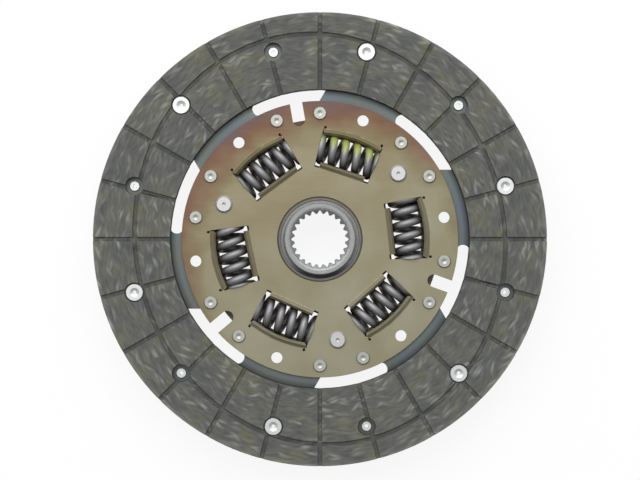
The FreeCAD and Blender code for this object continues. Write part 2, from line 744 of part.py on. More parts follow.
def add_stop_pins():
    """Shouldered pins that space the two plates and end the twist in the flange's notches."""
    front, rear = f"({CUSHION_TOP} + Sizes.plate_thick)", f"({REAR_PLATE_TOP} - Sizes.plate_thick)"
    shank, tenon = "Sizes.stop_pin_d / 2", "Sizes.stop_tenon_d / 2"
    head, thick = "Sizes.stop_head_d / 2", "Sizes.stop_head_thick"
    flat = f"({head} - Sizes.stop_head_edge)"
    dimple, deep = "Sizes.stop_dimple_r", "Sizes.stop_dimple_depth"
    master = revolved_piece(
        "stop_pin_master",
        [
            ("0", f"{rear} - {thick} + {deep}"),
            (dimple, f"{rear} - {thick}"),
            (flat, f"{rear} - {thick}"),
            (head, f"{rear} - {thick} / 2"),
            (head, rear),
            (tenon, rear),
            (tenon, REAR_PLATE_TOP),
            (shank, REAR_PLATE_TOP),
            (shank, CUSHION_TOP),
            (tenon, CUSHION_TOP),
            (tenon, front),
            (head, front),
            (head, f"{front} + {thick} / 2"),
            (flat, f"{front} + {thick}"),
            (dimple, f"{front} + {thick}"),
            ("0", f"{front} + {thick} - {deep}"),
        ],
    )
    first = value("Sizes.hole_angle + Sizes.web_angle")
    angles = around(first, int(value("Sizes.stop_count")))
    places = round_places(value("Sizes.stop_pin_r"), angles)
    return add_set("stop_pins", master, places)


def cushion_blank():
    """A wavy sheet, lofted through sections that stand at even angles round the disc's axis.
    The paddle's crest meets the front facing at one rivet and its trough the rear facing at
    the other, and the base stays flat."""
    middle = value("Sizes.facing_mid_height")
    half_thick, wave = value("Sizes.cushion_thick / 2"), value("Sizes.cushion_wave")
    crest = value(f"{HEAD_ANGLE} + Sizes.web_angle * 2") - base_direction()
    trough = value(ACCESS_ANGLE) - base_direction()
    radii = [
        value("Sizes.base_inner_r - 3"),
        value("Sizes.front_plate_r"),
        value("Sizes.wave_start_r"),
        value(f"{PADDLE_OUTER_R} * 1.1"),
    ]
    steps = 4
    sections = []
    for i in range(-1, 2 * steps):
        share = i / steps
        angle = trough + (crest - trough) * share
        lift = -wave * math.cos(math.pi * share)
        heights = [middle, middle, middle + lift, middle + lift]
        along = Vector(math.cos(math.radians(angle)), math.sin(math.radians(angle)), 0)
        under = [along * r + Vector(0, 0, h - half_thick) for r, h in zip(radii, heights)]
        over = [along * r + Vector(0, 0, h + half_thick) for r, h in zip(radii, heights)]
        sections.append(Part.makePolygon(under + over[::-1] + under[:1]))
    return Part.makeLoft(sections, True, False)


def base_direction():
    """Direction of the middle of the first segment's base: over the second open hole."""
    return value("Sizes.hole_angle") + 360.0 / value("Sizes.repeat_count")


def add_segments():
    """Cushion segments. Each base is riveted to the front plate and each paddle to both
    facings. Its outline is cut out of a wavy sheet."""
    body = new_body("segment_outline")
    sketch = new_sketch(body, "SegmentOutline")
    shift, flare = "Sizes.paddle_shift", "Sizes.neck_flare"
    back, front = "Sizes.neck_back_angle", "Sizes.neck_front_angle"

    def half_base(radius):
        return f"(Sizes.web_angle * 1 deg - asin(Sizes.base_gap / 2 / {radius}))"

    def half_paddle(radius):
        return f"(Sizes.web_angle * 1 deg - asin(Sizes.paddle_gap / 2 / {radius}))"

    inner, outer = "Sizes.base_inner_r", "Sizes.base_outer_r"
    near, far = PADDLE_INNER_R, PADDLE_OUTER_R
    add_outline(
        sketch,
        [
            (*polar(inner, f"-{half_base(inner)}"), inner, "left"),
            polar(inner, half_base(inner)),
            (*polar(outer, half_base(outer)), outer, "right"),
            polar(outer, f"{front} + {flare}"),
            (*polar(near, front), near, "left"),
            polar(near, f"{half_paddle(near)} - {shift} * 1 deg"),
            (*polar(far, f"{half_paddle(far)} - {shift} * 1 deg"), far, "right"),
            polar(far, f"-{half_paddle(far)} - {shift} * 1 deg"),
            (*polar(near, f"-{half_paddle(near)} - {shift} * 1 deg"), near, "left"),
            polar(near, f"-{back}"),
            (*polar(outer, f"-{back}"), outer, "right"),
            polar(outer, f"-{half_base(outer)}"),
        ],
    )
    base = base_direction()
    crest = f"({HEAD_ANGLE} + Sizes.web_angle * 2 - {base})"
    trough = f"({ACCESS_ANGLE} - {base})"
    for radius, circle, angle in (
        (PLATE_RIVET_HOLE_R, "Sizes.plate_rivet_r", "Sizes.plate_rivet_step"),
        (PLATE_RIVET_HOLE_R, "Sizes.plate_rivet_r", "-Sizes.plate_rivet_step"),
        (FACING_RIVET_HOLE_R, "Sizes.facing_rivet_r", crest),
        (FACING_RIVET_HOLE_R, "Sizes.facing_rivet_r", trough),
    ):
        add_circle(sketch, radius, *polar(circle, angle))
    add_circle(sketch, "Sizes.open_hole_d / 2", "Sizes.plate_rivet_r", "0")
    add_pad(body, sketch, "2 * Sizes.facing_mid_height")
    round_neck(body)

    blank = doc.addObject("Part::Feature", "segment_blank")
    blank.Shape = cushion_blank()
    cut = doc.addObject("Part::Common", "segment_cut")
    cut.Base, cut.Tool = blank, body
    doc.recompute()
    segments = []
    for i in range(int(value("Sizes.repeat_count"))):
        segment = doc.addObject("Part::Feature", f"cushion_segment_{i + 1}")
        segment.Label = f"cushion_segment_{i + 1}"
        segment.Shape = cut.Shape.copy()
        turn = base + 360.0 * i / value("Sizes.repeat_count")
        segment.Placement = Placement(Vector(), Rotation(Vector(0, 0, 1), turn))
        segments.append(segment)
    return segments


def round_neck(body):
    """Round the two upright edges at the neck's back, where the open arc beside it ends."""
    pad = body.Tip
    corners = [
        polar(PADDLE_INNER_R, "-Sizes.neck_back_angle"),
        polar("Sizes.base_outer_r", "-Sizes.neck_back_angle"),
    ]
    spots = [Vector(value(x), value(y), 0) for x, y in corners]
    names = []
    for number, edge in enumerate(pad.Shape.Edges, start=1):
        ends = [v.Point for v in edge.Vertexes]
        upright = len(ends) == 2 and abs(ends[0].z - ends[1].z) > 1
        if upright and any(math.hypot(ends[0].x - s.x, ends[0].y - s.y) < 0.01 for s in spots):
            names.append(f"Edge{number}")
    rounding = body.newObject("PartDesign::Fillet", "NeckRounding")
    rounding.Base = (pad, names)
    rounding.setExpression("Radius", "Sizes.neck_round")
    body.Tip = rounding
    doc.recompute()


def spring_shape():
    """Coil spring with its end coils closed up and ground flat on the ends of its window."""
    lean = math.radians(value("Sizes.window_taper"))
    half_length, axis_r = value("Sizes.window_half_length"), value("Sizes.spring_circle_r")
    height = value(SPRING_HEIGHT)
    wire_d, turns = value("Sizes.spring_wire_d"), value("Sizes.spring_turns")
    coil_r = (value("Sizes.spring_outer_d") - wire_d) / 2
    span = 2 * (half_length + value("Sizes.spring_grinding"))

    def centre_line(turn):
        """The wire's middle, after that many turns from the coil's lowest point."""
        share = turn / turns
        closing = value("Sizes.coil_closing") * math.sin(2 * math.pi * share) / (2 * math.pi)
        spin = 2 * math.pi * (turn + 0.25)
        across, down = coil_r * math.cos(spin), coil_r * math.sin(spin)
        return Vector(axis_r + across, span * (share - closing - 0.5), height - down)

    steps = int(math.ceil(turns * 12))
    curve = Part.BSplineCurve()
    curve.interpolate([centre_line(turns * i / steps) for i in range(steps + 1)])
    start = curve.value(curve.FirstParameter)
    heading = curve.tangent(curve.FirstParameter)[0]
    ring = Part.Wire([Part.Circle(start, heading, wire_d / 2).toShape()])
    coil = Part.Wire([curve.toShape()]).makePipeShell([ring], True, True)

    reach = 2 * axis_r
    apex = axis_r - half_length / math.tan(lean) + value("Sizes.spring_end_play") / math.sin(lean)
    wide = (reach - apex) * math.tan(lean)
    corners = [Vector(apex, 0, 0), Vector(reach, -wide, 0), Vector(reach, wide, 0)]
    between_ends = Part.Face(Part.makePolygon(corners + corners[:1]))
    return coil.common(between_ends.extrude(Vector(0, 0, 2 * height)))


def add_springs():
    master = spring_shape()
    count = int(value("Sizes.stop_count"))
    first = value("Sizes.hole_angle")
    turns = [turn for set_turn in WINDOW_TURNS for turn in around(first + value(set_turn), count)]
    springs = []
    for number, turn in enumerate(sorted(turns), start=1):
        spring = doc.addObject("Part::Feature", f"damper_spring_{number}")
        spring.Label = f"damper_spring_{number}"
        spring.Shape = master.copy()
        spring.Placement = Placement(Vector(), Rotation(Vector(0, 0, 1), turn))
        springs.append(spring)
    return springs


def export(pieces):
    """Stop if anything in the document failed, then write one STEP file for each piece."""
    doc.recompute()
    for item in doc.Objects:
        if "Invalid" in item.State or "Error" in item.State:
            raise RuntimeError(f"{item.Name} failed: {item.State}")
    for piece in pieces:
        shape = piece.Shape
        if shape.isNull() or not shape.isValid() or not shape.Solids:
            raise RuntimeError(f"{piece.Label} has no valid solid")
    os.makedirs("parts", exist_ok=True)
    for piece in pieces:
        piece.Shape.exportStep(f"parts/{piece.Label}.step")
        solids = piece.Shape.Solids
        volume = sum(s.Volume for s in solids) / 1000.0
        print(f"{piece.Label}: {len(solids)} solid(s), {volume:.2f} cm3")


export(
    [
        add_hub(),
        add_front_plate(),
        add_rear_plate(),
        add_facing("facing_front", flip=False),
        add_facing("facing_rear", flip=True),
        *add_washers(),
        *add_facing_rivets(),
        add_plate_rivets(),
        add_stop_pins(),
        *add_segments(),
        *add_springs(),
    ]
)
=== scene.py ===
import itertools
import math

import bpy
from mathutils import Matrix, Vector


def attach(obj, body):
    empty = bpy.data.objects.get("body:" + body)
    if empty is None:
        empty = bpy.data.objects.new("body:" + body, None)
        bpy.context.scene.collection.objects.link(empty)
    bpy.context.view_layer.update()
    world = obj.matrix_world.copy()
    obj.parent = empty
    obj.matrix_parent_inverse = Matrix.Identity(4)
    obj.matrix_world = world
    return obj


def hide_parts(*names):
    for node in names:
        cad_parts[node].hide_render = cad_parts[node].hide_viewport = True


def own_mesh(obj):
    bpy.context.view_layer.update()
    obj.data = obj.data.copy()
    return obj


# Clutch disc, flywheel side up, lying on the long end of its hub. Lengths are in metres.

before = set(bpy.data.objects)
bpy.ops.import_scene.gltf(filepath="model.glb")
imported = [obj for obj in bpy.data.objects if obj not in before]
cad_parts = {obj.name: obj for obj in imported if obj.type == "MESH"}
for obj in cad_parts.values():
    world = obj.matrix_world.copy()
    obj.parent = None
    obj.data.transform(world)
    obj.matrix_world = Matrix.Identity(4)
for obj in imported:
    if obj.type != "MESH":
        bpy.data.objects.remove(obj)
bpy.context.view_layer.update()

MM = 0.001
# Two sets of three spring windows, in degrees from +X
SPRING_DIRECTIONS = sorted(first + 120.0 * i for first in (6.4, 71.8) for i in range(3))
# How far each spring has turned in its seats since it was wound, as a share of a turn
SPRING_SETTLED = (0.0, 0.25, -0.11, -0.31, -0.1, -0.05)
SPRING_CIRCLE_R = 41.4 * MM
SPRING_HEIGHT = 19.9 * MM
# Half a window's length at the springs' circle, and how far each end of it leans
WINDOW_HALF_LENGTH = 13.85 * MM
WINDOW_LEAN = math.radians(4.5)
# Half way between the two facings, and half way across one
FACING_HEIGHT = 24.0 * MM
FACING_MIDDLE_R = 88.0 * MM


def colour(code):
    """The linear colour of an sRGB hex code."""
    parts = [int(code[i : i + 2], 16) / 255 for i in (1, 3, 5)]
    linear = [c / 12.92 if c <= 0.04045 else ((c + 0.055) / 1.055) ** 2.4 for c in parts]
    return (*linear, 1.0)


def add_node(tree, kind, settings=None, links=None):
    """Add a node. A setting fills a field or an input of it, stops fill its ramp, and a link
    joins one of its inputs to an earlier node's output."""
    node = tree.nodes.new(kind)
    for name, value in (settings or {}).items():
        if name == "stops":
            ramp = node.color_ramp
            while len(ramp.elements) < len(value):
                ramp.elements.new(1.0)
            for element, (place, code) in zip(ramp.elements, value):
                element.position, element.color = place, colour(code)
        elif isinstance(name, int) or name in node.inputs:
            node.inputs[name].default_value = value
        else:
            setattr(node, name, value)
    for name, output in (links or {}).items():
        tree.links.new(output, node.inputs[name])
    return node


def new_material(name):
    """An empty material, its node tree and the output node."""
    material = bpy.data.materials.new(name)
    material.use_nodes = True
    tree = material.node_tree
    tree.nodes.clear()
    return material, tree, add_node(tree, "ShaderNodeOutputMaterial")


def polar_millimetres(tree):
    """A place on the object, its X, Y and Z, and in millimetres the way round the disc, half way
    across the facings, and the way out from its axis."""
    place = add_node(tree, "ShaderNodeTexCoord")
    split = add_node(tree, "ShaderNodeSeparateXYZ", links={0: place.outputs["Object"]})
    angle = add_node(
        tree,
        "ShaderNodeMath",
        {"operation": "ARCTAN2"},
        {0: split.outputs["Y"], 1: split.outputs["X"]},
    )
    around = add_node(
        tree,
        "ShaderNodeMath",
        {"operation": "MULTIPLY", 1: FACING_MIDDLE_R / MM},
        {0: angle.outputs[0]},
    )
    level = add_node(
        tree, "ShaderNodeVectorMath", {"operation": "MULTIPLY", 1: (1 / MM, 1 / MM, 0.0)},
        {0: place.outputs["Object"]},
    )
    out = add_node(tree, "ShaderNodeVectorMath", {"operation": "LENGTH"}, {0: level.outputs[0]})
    return place, split, around.outputs[0], out.outputs["Value"]


def swayed_places(tree, place, split, around, out):
    """Flat places on a facing, in millimetres, that slow waves push a little to and fro."""
    # The height is added to the distance, so that the walls aren't striped
    rise = add_node(
        tree, "ShaderNodeMath", {"operation": "MULTIPLY_ADD", 1: 1 / MM},
        {0: split.outputs["Z"], 2: out},
    )
    flat = add_node(tree, "ShaderNodeCombineXYZ", links={"X": around, "Y": rise.outputs[0]})
    sway = add_node(
        tree, "ShaderNodeTexNoise", {"Scale": 70.0, "Detail": 1.0}, {"Vector": place.outputs["Object"]}
    )
    shift = add_node(
        tree, "ShaderNodeVectorMath", {"operation": "SUBTRACT", 1: (0.5, 0.5, 0.5)},
        {0: sway.outputs["Color"]},
    )
    pull = add_node(
        tree, "ShaderNodeVectorMath", {"operation": "MULTIPLY", 1: (0.0, 6.0, 0.0)},
        {0: shift.outputs[0]},
    )
    swayed = add_node(
        tree, "ShaderNodeVectorMath", {"operation": "ADD"}, {0: flat.outputs[0], 1: pull.outputs[0]}
    )
    return swayed.outputs[0]


def fibre_bundles(tree, place, swayed):
    """Bundles 4 to 6 mm long, in three slants, thicker in some places than in others."""
    strokes = None
    for slant, seed in ((-16.0, 0.0), (4.0, 40.0), (22.0, 80.0)):
        laid = add_node(
            tree,
            "ShaderNodeMapping",
            {"Location": (seed, seed, 0.0), "Rotation": (0.0, 0.0, math.radians(slant))},
            {"Vector": swayed},
        )
        drawn = add_node(
            tree, "ShaderNodeVectorMath", {"operation": "MULTIPLY", 1: (1 / 10.0, 1 / 2.6, 1.0)},
            {0: laid.outputs[0]},
        )
        cells = add_node(
            tree, "ShaderNodeTexVoronoi", {"voronoi_dimensions": "2D", "Scale": 1.0},
            {"Vector": drawn.outputs[0]},
        )
        line = add_node(
            tree,
            "ShaderNodeMapRange",
            {"From Min": 0.38, "From Max": 0.02, "To Min": 0.0, "To Max": 1.0},
            {"Value": cells.outputs["Distance"]},
        )
        drawn_lot = add_node(tree, "ShaderNodeSeparateColor", links={0: cells.outputs["Color"]})
        strength = add_node(
            tree,
            "ShaderNodeMapRange",
            {"From Min": 0.4, "From Max": 1.0, "To Min": 0.0, "To Max": 1.0},
            {"Value": drawn_lot.outputs[0]},
        )
        shown = add_node(
            tree, "ShaderNodeMath", {"operation": "MULTIPLY"},
            {0: line.outputs[0], 1: strength.outputs[0]},
        )
        if strokes is None:
            strokes = shown.outputs[0]
        else:
            both = add_node(
                tree, "ShaderNodeMath", {"operation": "MAXIMUM"}, {0: strokes, 1: shown.outputs[0]}
            )
            strokes = both.outputs[0]
    gathered = add_node(
        tree, "ShaderNodeTexNoise", {"Scale": 120.0, "Detail": 2.0},
        {"Vector": place.outputs["Object"]},
    )
    bundle = add_node(
        tree,
        "ShaderNodeMapRange",
        {"From Min": 0.42, "From Max": 0.6, "To Min": 0.25, "To Max": 0.95},
        {"Value": gathered.outputs["Fac"]},
    )
    share = add_node(
        tree, "ShaderNodeMath", {"operation": "MULTIPLY"}, {0: strokes, 1: bundle.outputs[0]}
    )
    return share.outputs[0]


def moulded_friction_lining():
    """Woven fibre in resin, pressed and ground: matt, mottled grey with pale ends of fibre."""
    material, tree, output = new_material("moulded friction lining")
    place, split, around, out = polar_millimetres(tree)
    swayed = swayed_places(tree, place, split, around, out)
    # Resin: grey with olive clouds, and a fine weave drawn out round the disc
    cloud = add_node(
        tree, "ShaderNodeTexNoise", {"Scale": 85.0, "Detail": 3.0, "Roughness": 0.6},
        {"Vector": place.outputs["Object"]},
    )
    resin = add_node(
        tree,
        "ShaderNodeValToRGB",
        {"stops": [(0.36, "#646665"), (0.5, "#6b6c68"), (0.64, "#727265")]},
        {"Fac": cloud.outputs["Fac"]},
    )
    stretched = add_node(
        tree, "ShaderNodeVectorMath", {"operation": "MULTIPLY", 1: (1 / 5.0, 1 / 1.1, 1.0)},
        {0: swayed},
    )
    weave = add_node(
        tree, "ShaderNodeTexNoise", {"noise_dimensions": "2D", "Scale": 1.0, "Detail": 3.0},
        {"Vector": stretched.outputs[0]},
    )
    weave_tone = add_node(
        tree,
        "ShaderNodeValToRGB",
        {"stops": [(0.3, "#d0d0d0"), (0.5, "#eaeaea"), (0.72, "#ffffff")]},
        {"Fac": weave.outputs["Fac"]},
    )
    toned = add_node(
        tree, "ShaderNodeMix", {"data_type": "RGBA", "blend_type": "MULTIPLY", 0: 0.8},
        {6: resin.outputs["Color"], 7: weave_tone.outputs["Color"]},
    )
    fibred = add_node(
        tree, "ShaderNodeMix", {"data_type": "RGBA", 7: colour("#9b9c95")},
        {0: fibre_bundles(tree, place, swayed), 6: toned.outputs[2]},
    )
    # The floors of the grooves are painted darker: painted shade in the recesses
    level = add_node(
        tree, "ShaderNodeMath", {"operation": "SUBTRACT", 1: FACING_HEIGHT}, {0: split.outputs["Z"]}
    )
    depth = add_node(tree, "ShaderNodeMath", {"operation": "ABSOLUTE"}, {0: level.outputs[0]})
    groove_shade = add_node(
        tree,
        "ShaderNodeMapRange",
        {"From Min": 3.3 * MM, "From Max": 4.25 * MM, "To Min": 0.75, "To Max": 1.0},
        {"Value": depth.outputs[0]},
    )
    # The rim is turned to size, which leaves it paler
    rim = add_node(
        tree,
        "ShaderNodeMapRange",
        {"From Min": 103.8, "From Max": 105.4, "To Min": 1.0, "To Max": 1.3},
        {"Value": out},
    )
    tones = add_node(
        tree, "ShaderNodeMath", {"operation": "MULTIPLY"}, {0: groove_shade.outputs[0], 1: rim.outputs[0]}
    )
    shaded = add_node(
        tree, "ShaderNodeVectorMath", {"operation": "SCALE"},
        {0: fibred.outputs[2], "Scale": tones.outputs[0]},
    )
    grain = add_node(
        tree, "ShaderNodeTexNoise", {"Scale": 1400.0, "Detail": 2.0},
        {"Vector": place.outputs["Object"]},
    )
    relief = add_node(
        tree, "ShaderNodeMath", {"operation": "ADD"}, {0: grain.outputs["Fac"], 1: weave.outputs["Fac"]}
    )
    bump = add_node(
        tree, "ShaderNodeBump", {"Strength": 0.35, "Distance": 0.12 * MM}, {"Height": relief.outputs[0]}
    )
    surface = add_node(
        tree,
        "ShaderNodeBsdfPrincipled",
        {"Roughness": 0.85, "Metallic": 0.0, "IOR": 1.5, "Specular IOR Level": 0.3},
        {"Base Color": shaded.outputs[0], "Normal": bump.outputs[0]},
    )
    tree.links.new(surface.outputs[0], output.inputs["Surface"])
    return material


def heat_tinted_plate():
    """Carbonitrided sheet steel: satin olive tan, with temper colours towards one side's rim."""
    material, tree, output = new_material("heat-tinted plate steel")
    place = add_node(tree, "ShaderNodeTexCoord")
    # Distance from a point 14 mm off the axis: the colours crowd towards the far rim
    tint_from = math.radians(110.0)
    offset = (14 * math.cos(tint_from), 14 * math.sin(tint_from), 0.0)
    moved = add_node(
        tree, "ShaderNodeMapping", {"Location": offset, "Scale": (1 / MM, 1 / MM, 0.0)},
        {"Vector": place.outputs["Object"]},
    )
    reach = add_node(tree, "ShaderNodeVectorMath", {"operation": "LENGTH"}, {0: moved.outputs[0]})
    drift = add_node(
        tree, "ShaderNodeTexNoise", {"Scale": 75.0, "Detail": 2.0}, {"Vector": place.outputs["Object"]}
    )
    wander = add_node(
        tree,
        "ShaderNodeMapRange",
        {"From Min": 0.3, "From Max": 0.7, "To Min": -3.5, "To Max": 3.5},
        {"Value": drift.outputs["Fac"]},
    )
    heat = add_node(
        tree, "ShaderNodeMath", {"operation": "ADD"}, {0: reach.outputs["Value"], 1: wander.outputs[0]}
    )
    share = add_node(
        tree,
        "ShaderNodeMapRange",
        {"From Min": 50.0, "From Max": 82.0, "To Min": 0.0, "To Max": 1.0},
        {"Value": heat.outputs[0]},
    )
    temper = add_node(
        tree,
        "ShaderNodeValToRGB",
        {
            "stops": [
                (0.25, "#9e9a84"),
                (0.42, "#908a70"),
                (0.56, "#8d7a67"),
                (0.68, "#856c5b"),
                (0.8, "#7f655f"),
                (0.92, "#746466"),
                (1.0, "#6a6a6f"),
            ]
        },
        {"Fac": share.outputs[0]},
    )
    cloud = add_node(
        tree, "ShaderNodeTexNoise", {"Scale": 45.0, "Detail": 2.0}, {"Vector": place.outputs["Object"]}
    )
    tone = add_node(
        tree,
        "ShaderNodeValToRGB",
        {"stops": [(0.35, "#f1ece2"), (0.65, "#ffffff")]},
        {"Fac": cloud.outputs["Fac"]},
    )
    toned = add_node(
        tree, "ShaderNodeMix", {"data_type": "RGBA", "blend_type": "MULTIPLY", 0: 1.0},
        {6: temper.outputs["Color"], 7: tone.outputs["Color"]},
    )
    # The plate is a little darker and browner towards 125 degrees, right in to the hub
    darker_side = math.radians(125.0)
    towards = add_node(
        tree,
        "ShaderNodeVectorMath",
        {"operation": "DOT_PRODUCT", 1: (math.cos(darker_side), math.sin(darker_side), 0.0)},
        {0: place.outputs["Object"]},
    )
    browner = add_node(
        tree,
        "ShaderNodeMapRange",
        {"From Min": -25 * MM, "From Max": 25 * MM},
        {"Value": towards.outputs["Value"]},
    )
    film = add_node(
        tree,
        "ShaderNodeMix",
        {"data_type": "RGBA", "blend_type": "MULTIPLY", 7: colour("#f3ece3")},
        {0: browner.outputs[0], 6: toned.outputs[2]},
    )
    # Rolling grain, 0.5 mm apart and 10 mm long, drawn coarser than it is
    rolled = add_node(
        tree, "ShaderNodeMapping", {"Scale": (100.0, 2000.0, 100.0)}, {"Vector": place.outputs["Object"]}
    )
    grain = add_node(
        tree, "ShaderNodeTexNoise", {"Scale": 1.0, "Detail": 3.0}, {"Vector": rolled.outputs[0]}
    )
    rough = add_node(
        tree,
        "ShaderNodeMapRange",
        {"From Min": 0.3, "From Max": 0.7, "To Min": 0.42, "To Max": 0.56},
        {"Value": grain.outputs["Fac"]},
    )
    bump = add_node(
        tree, "ShaderNodeBump", {"Strength": 0.08, "Distance": 0.05 * MM}, {"Height": grain.outputs["Fac"]}
    )
    surface = add_node(
        tree,
        "ShaderNodeBsdfPrincipled",
        {"Metallic": 0.65},
        {
            "Base Color": film.outputs[2],
            "Roughness": rough.outputs[0],
            "Normal": bump.outputs[0],
        },
    )
    tree.links.new(surface.outputs[0], output.inputs["Surface"])
    return material


def blued_spring_steel():
    """Hardened strip, tempered blue grey, with a band of painted shade along the facings' inner edge."""
    material, tree, output = new_material("blued spring steel")
    place, _, _, out = polar_millimetres(tree)
    cloud = add_node(
        tree, "ShaderNodeTexNoise", {"Scale": 50.0, "Detail": 2.0}, {"Vector": place.outputs["Object"]}
    )
    film = add_node(
        tree,
        "ShaderNodeValToRGB",
        {"stops": [(0.35, "#6e716c"), (0.5, "#697272"), (0.65, "#687079")]},
        {"Fac": cloud.outputs["Fac"]},
    )
    # The facings begin at 70 mm from the axis
    reach = add_node(
        tree, "ShaderNodeMapRange", {"From Min": 65.0, "From Max": 75.0}, {"Value": out}
    )
    # Painted shade: a dark band on the strip just inside the facings' inner edge, where they shadow it
    edge_shade = add_node(
        tree,
        "ShaderNodeValToRGB",
        {
            "stops": [
                (0.2, "#ffffff"),
                (0.34, "#dadada"),
                (0.43, "#c6c6c6"),
                (0.5, "#7c7c7a"),
                (0.62, "#f2efe8"),
            ]
        },
        {"Fac": reach.outputs[0]},
    )
    edge_shaded = add_node(
        tree, "ShaderNodeMix", {"data_type": "RGBA", "blend_type": "MULTIPLY", 0: 1.0},
        {6: film.outputs["Color"], 7: edge_shade.outputs["Color"]},
    )
    surface = add_node(
        tree,
        "ShaderNodeBsdfPrincipled",
        {"Metallic": 0.8, "Roughness": 0.4},
        {"Base Color": edge_shaded.outputs[2]},
    )
    tree.links.new(surface.outputs[0], output.inputs["Surface"])
    return material


def upset_rivet_steel(name, code):
    """Cold-headed zinc-plated steel: bright and soft, with small dents from the tool."""
    material, tree, output = new_material(name)
    place = add_node(tree, "ShaderNodeTexCoord")
    dents = add_node(
        tree, "ShaderNodeTexNoise", {"Scale": 900.0, "Detail": 2.0}, {"Vector": place.outputs["Object"]}
    )
    bump = add_node(
        tree, "ShaderNodeBump", {"Strength": 0.25, "Distance": 0.1 * MM}, {"Height": dents.outputs["Fac"]}
    )
    surface = add_node(
        tree,
        "ShaderNodeBsdfPrincipled",
        {"Base Color": colour(code), "Metallic": 0.9, "Roughness": 0.45},
        {"Normal": bump.outputs[0]},
    )
    tree.links.new(surface.outputs[0], output.inputs["Surface"])
    return material


def turned_hub_steel():
    """Forged hub, turned and broached: clean steel with fine rings at the boss, a duller ground seat for
    the washer with the boss's shadow painted on one side, and dark scale and oil left on the flange."""
    material, tree, output = new_material("turned hub steel")
    _, split, _, out = polar_millimetres(tree)
    # Feed marks about 0.3 mm apart, drawn coarser than they are
    rings = add_node(
        tree, "ShaderNodeTexNoise", {"noise_dimensions": "1D", "Scale": 3.0, "Detail": 2.0}, {"W": out}
    )
    tone = add_node(
        tree,
        "ShaderNodeValToRGB",
        {"stops": [(0.3, "#cfcfcf"), (0.7, "#ffffff")]},
        {"Fac": rings.outputs["Fac"]},
    )
    # The washer's seat begins at 17.2 mm and the flange at 18.4 mm from the axis
    share = add_node(
        tree, "ShaderNodeMapRange", {"From Min": 16.0, "From Max": 20.0}, {"Value": out}
    )
    zone = add_node(
        tree,
        "ShaderNodeValToRGB",
        {"stops": [(0.33, "#aeb0b0"), (0.36, "#a4a2a5"), (0.62, "#a4a2a5"), (0.65, "#625c52")]},
        {"Fac": share.outputs[0]},
    )
    toned = add_node(
        tree, "ShaderNodeMix", {"data_type": "RGBA", "blend_type": "MULTIPLY", 0: 1.0},
        {6: zone.outputs["Color"], 7: tone.outputs["Color"]},
    )
    # Painted shadow: the boss's shadow, painted dark into the gap on the near (-Y) side
    below = add_node(
        tree,
        "ShaderNodeMapRange",
        {"From Min": -11.0 * MM, "From Max": -16.0 * MM},
        {"Value": split.outputs["Y"]},
    )
    gap = add_node(
        tree,
        "ShaderNodeValToRGB",
        {"stops": [(0.1, "#000000"), (0.2, "#ffffff"), (0.58, "#ffffff"), (0.66, "#000000")]},
        {"Fac": share.outputs[0]},
    )
    boss_shadow = add_node(
        tree, "ShaderNodeMath", {"operation": "MULTIPLY"},
        {0: below.outputs[0], 1: gap.outputs["Color"]},
    )
    boss_shadowed = add_node(
        tree, "ShaderNodeMix", {"data_type": "RGBA", 7: colour("#525053")},
        {0: boss_shadow.outputs[0], 6: toned.outputs[2]},
    )
    rough = add_node(
        tree,
        "ShaderNodeMapRange",
        {"From Min": 0.33, "From Max": 0.4, "To Min": 0.5, "To Max": 0.58},
        {"Value": share.outputs[0]},
    )
    bump = add_node(
        tree, "ShaderNodeBump", {"Strength": 0.2, "Distance": 0.05 * MM}, {"Height": rings.outputs["Fac"]}
    )
    surface = add_node(
        tree,
        "ShaderNodeBsdfPrincipled",
        {"Metallic": 0.85},
        {
            "Base Color": boss_shadowed.outputs[2],
            "Roughness": rough.outputs[0],
            "Normal": bump.outputs[0],
        },
    )
    tree.links.new(surface.outputs[0], output.inputs["Surface"])
    return material


def window_directions(angle):
    """Unit vectors from the axis out through a window's middle, and along the window."""
    turn = math.radians(angle)
    outwards = Vector((math.cos(turn), math.sin(turn), 0.0))
    along = Vector((-math.sin(turn), math.cos(turn), 0.0))
    return outwards, along


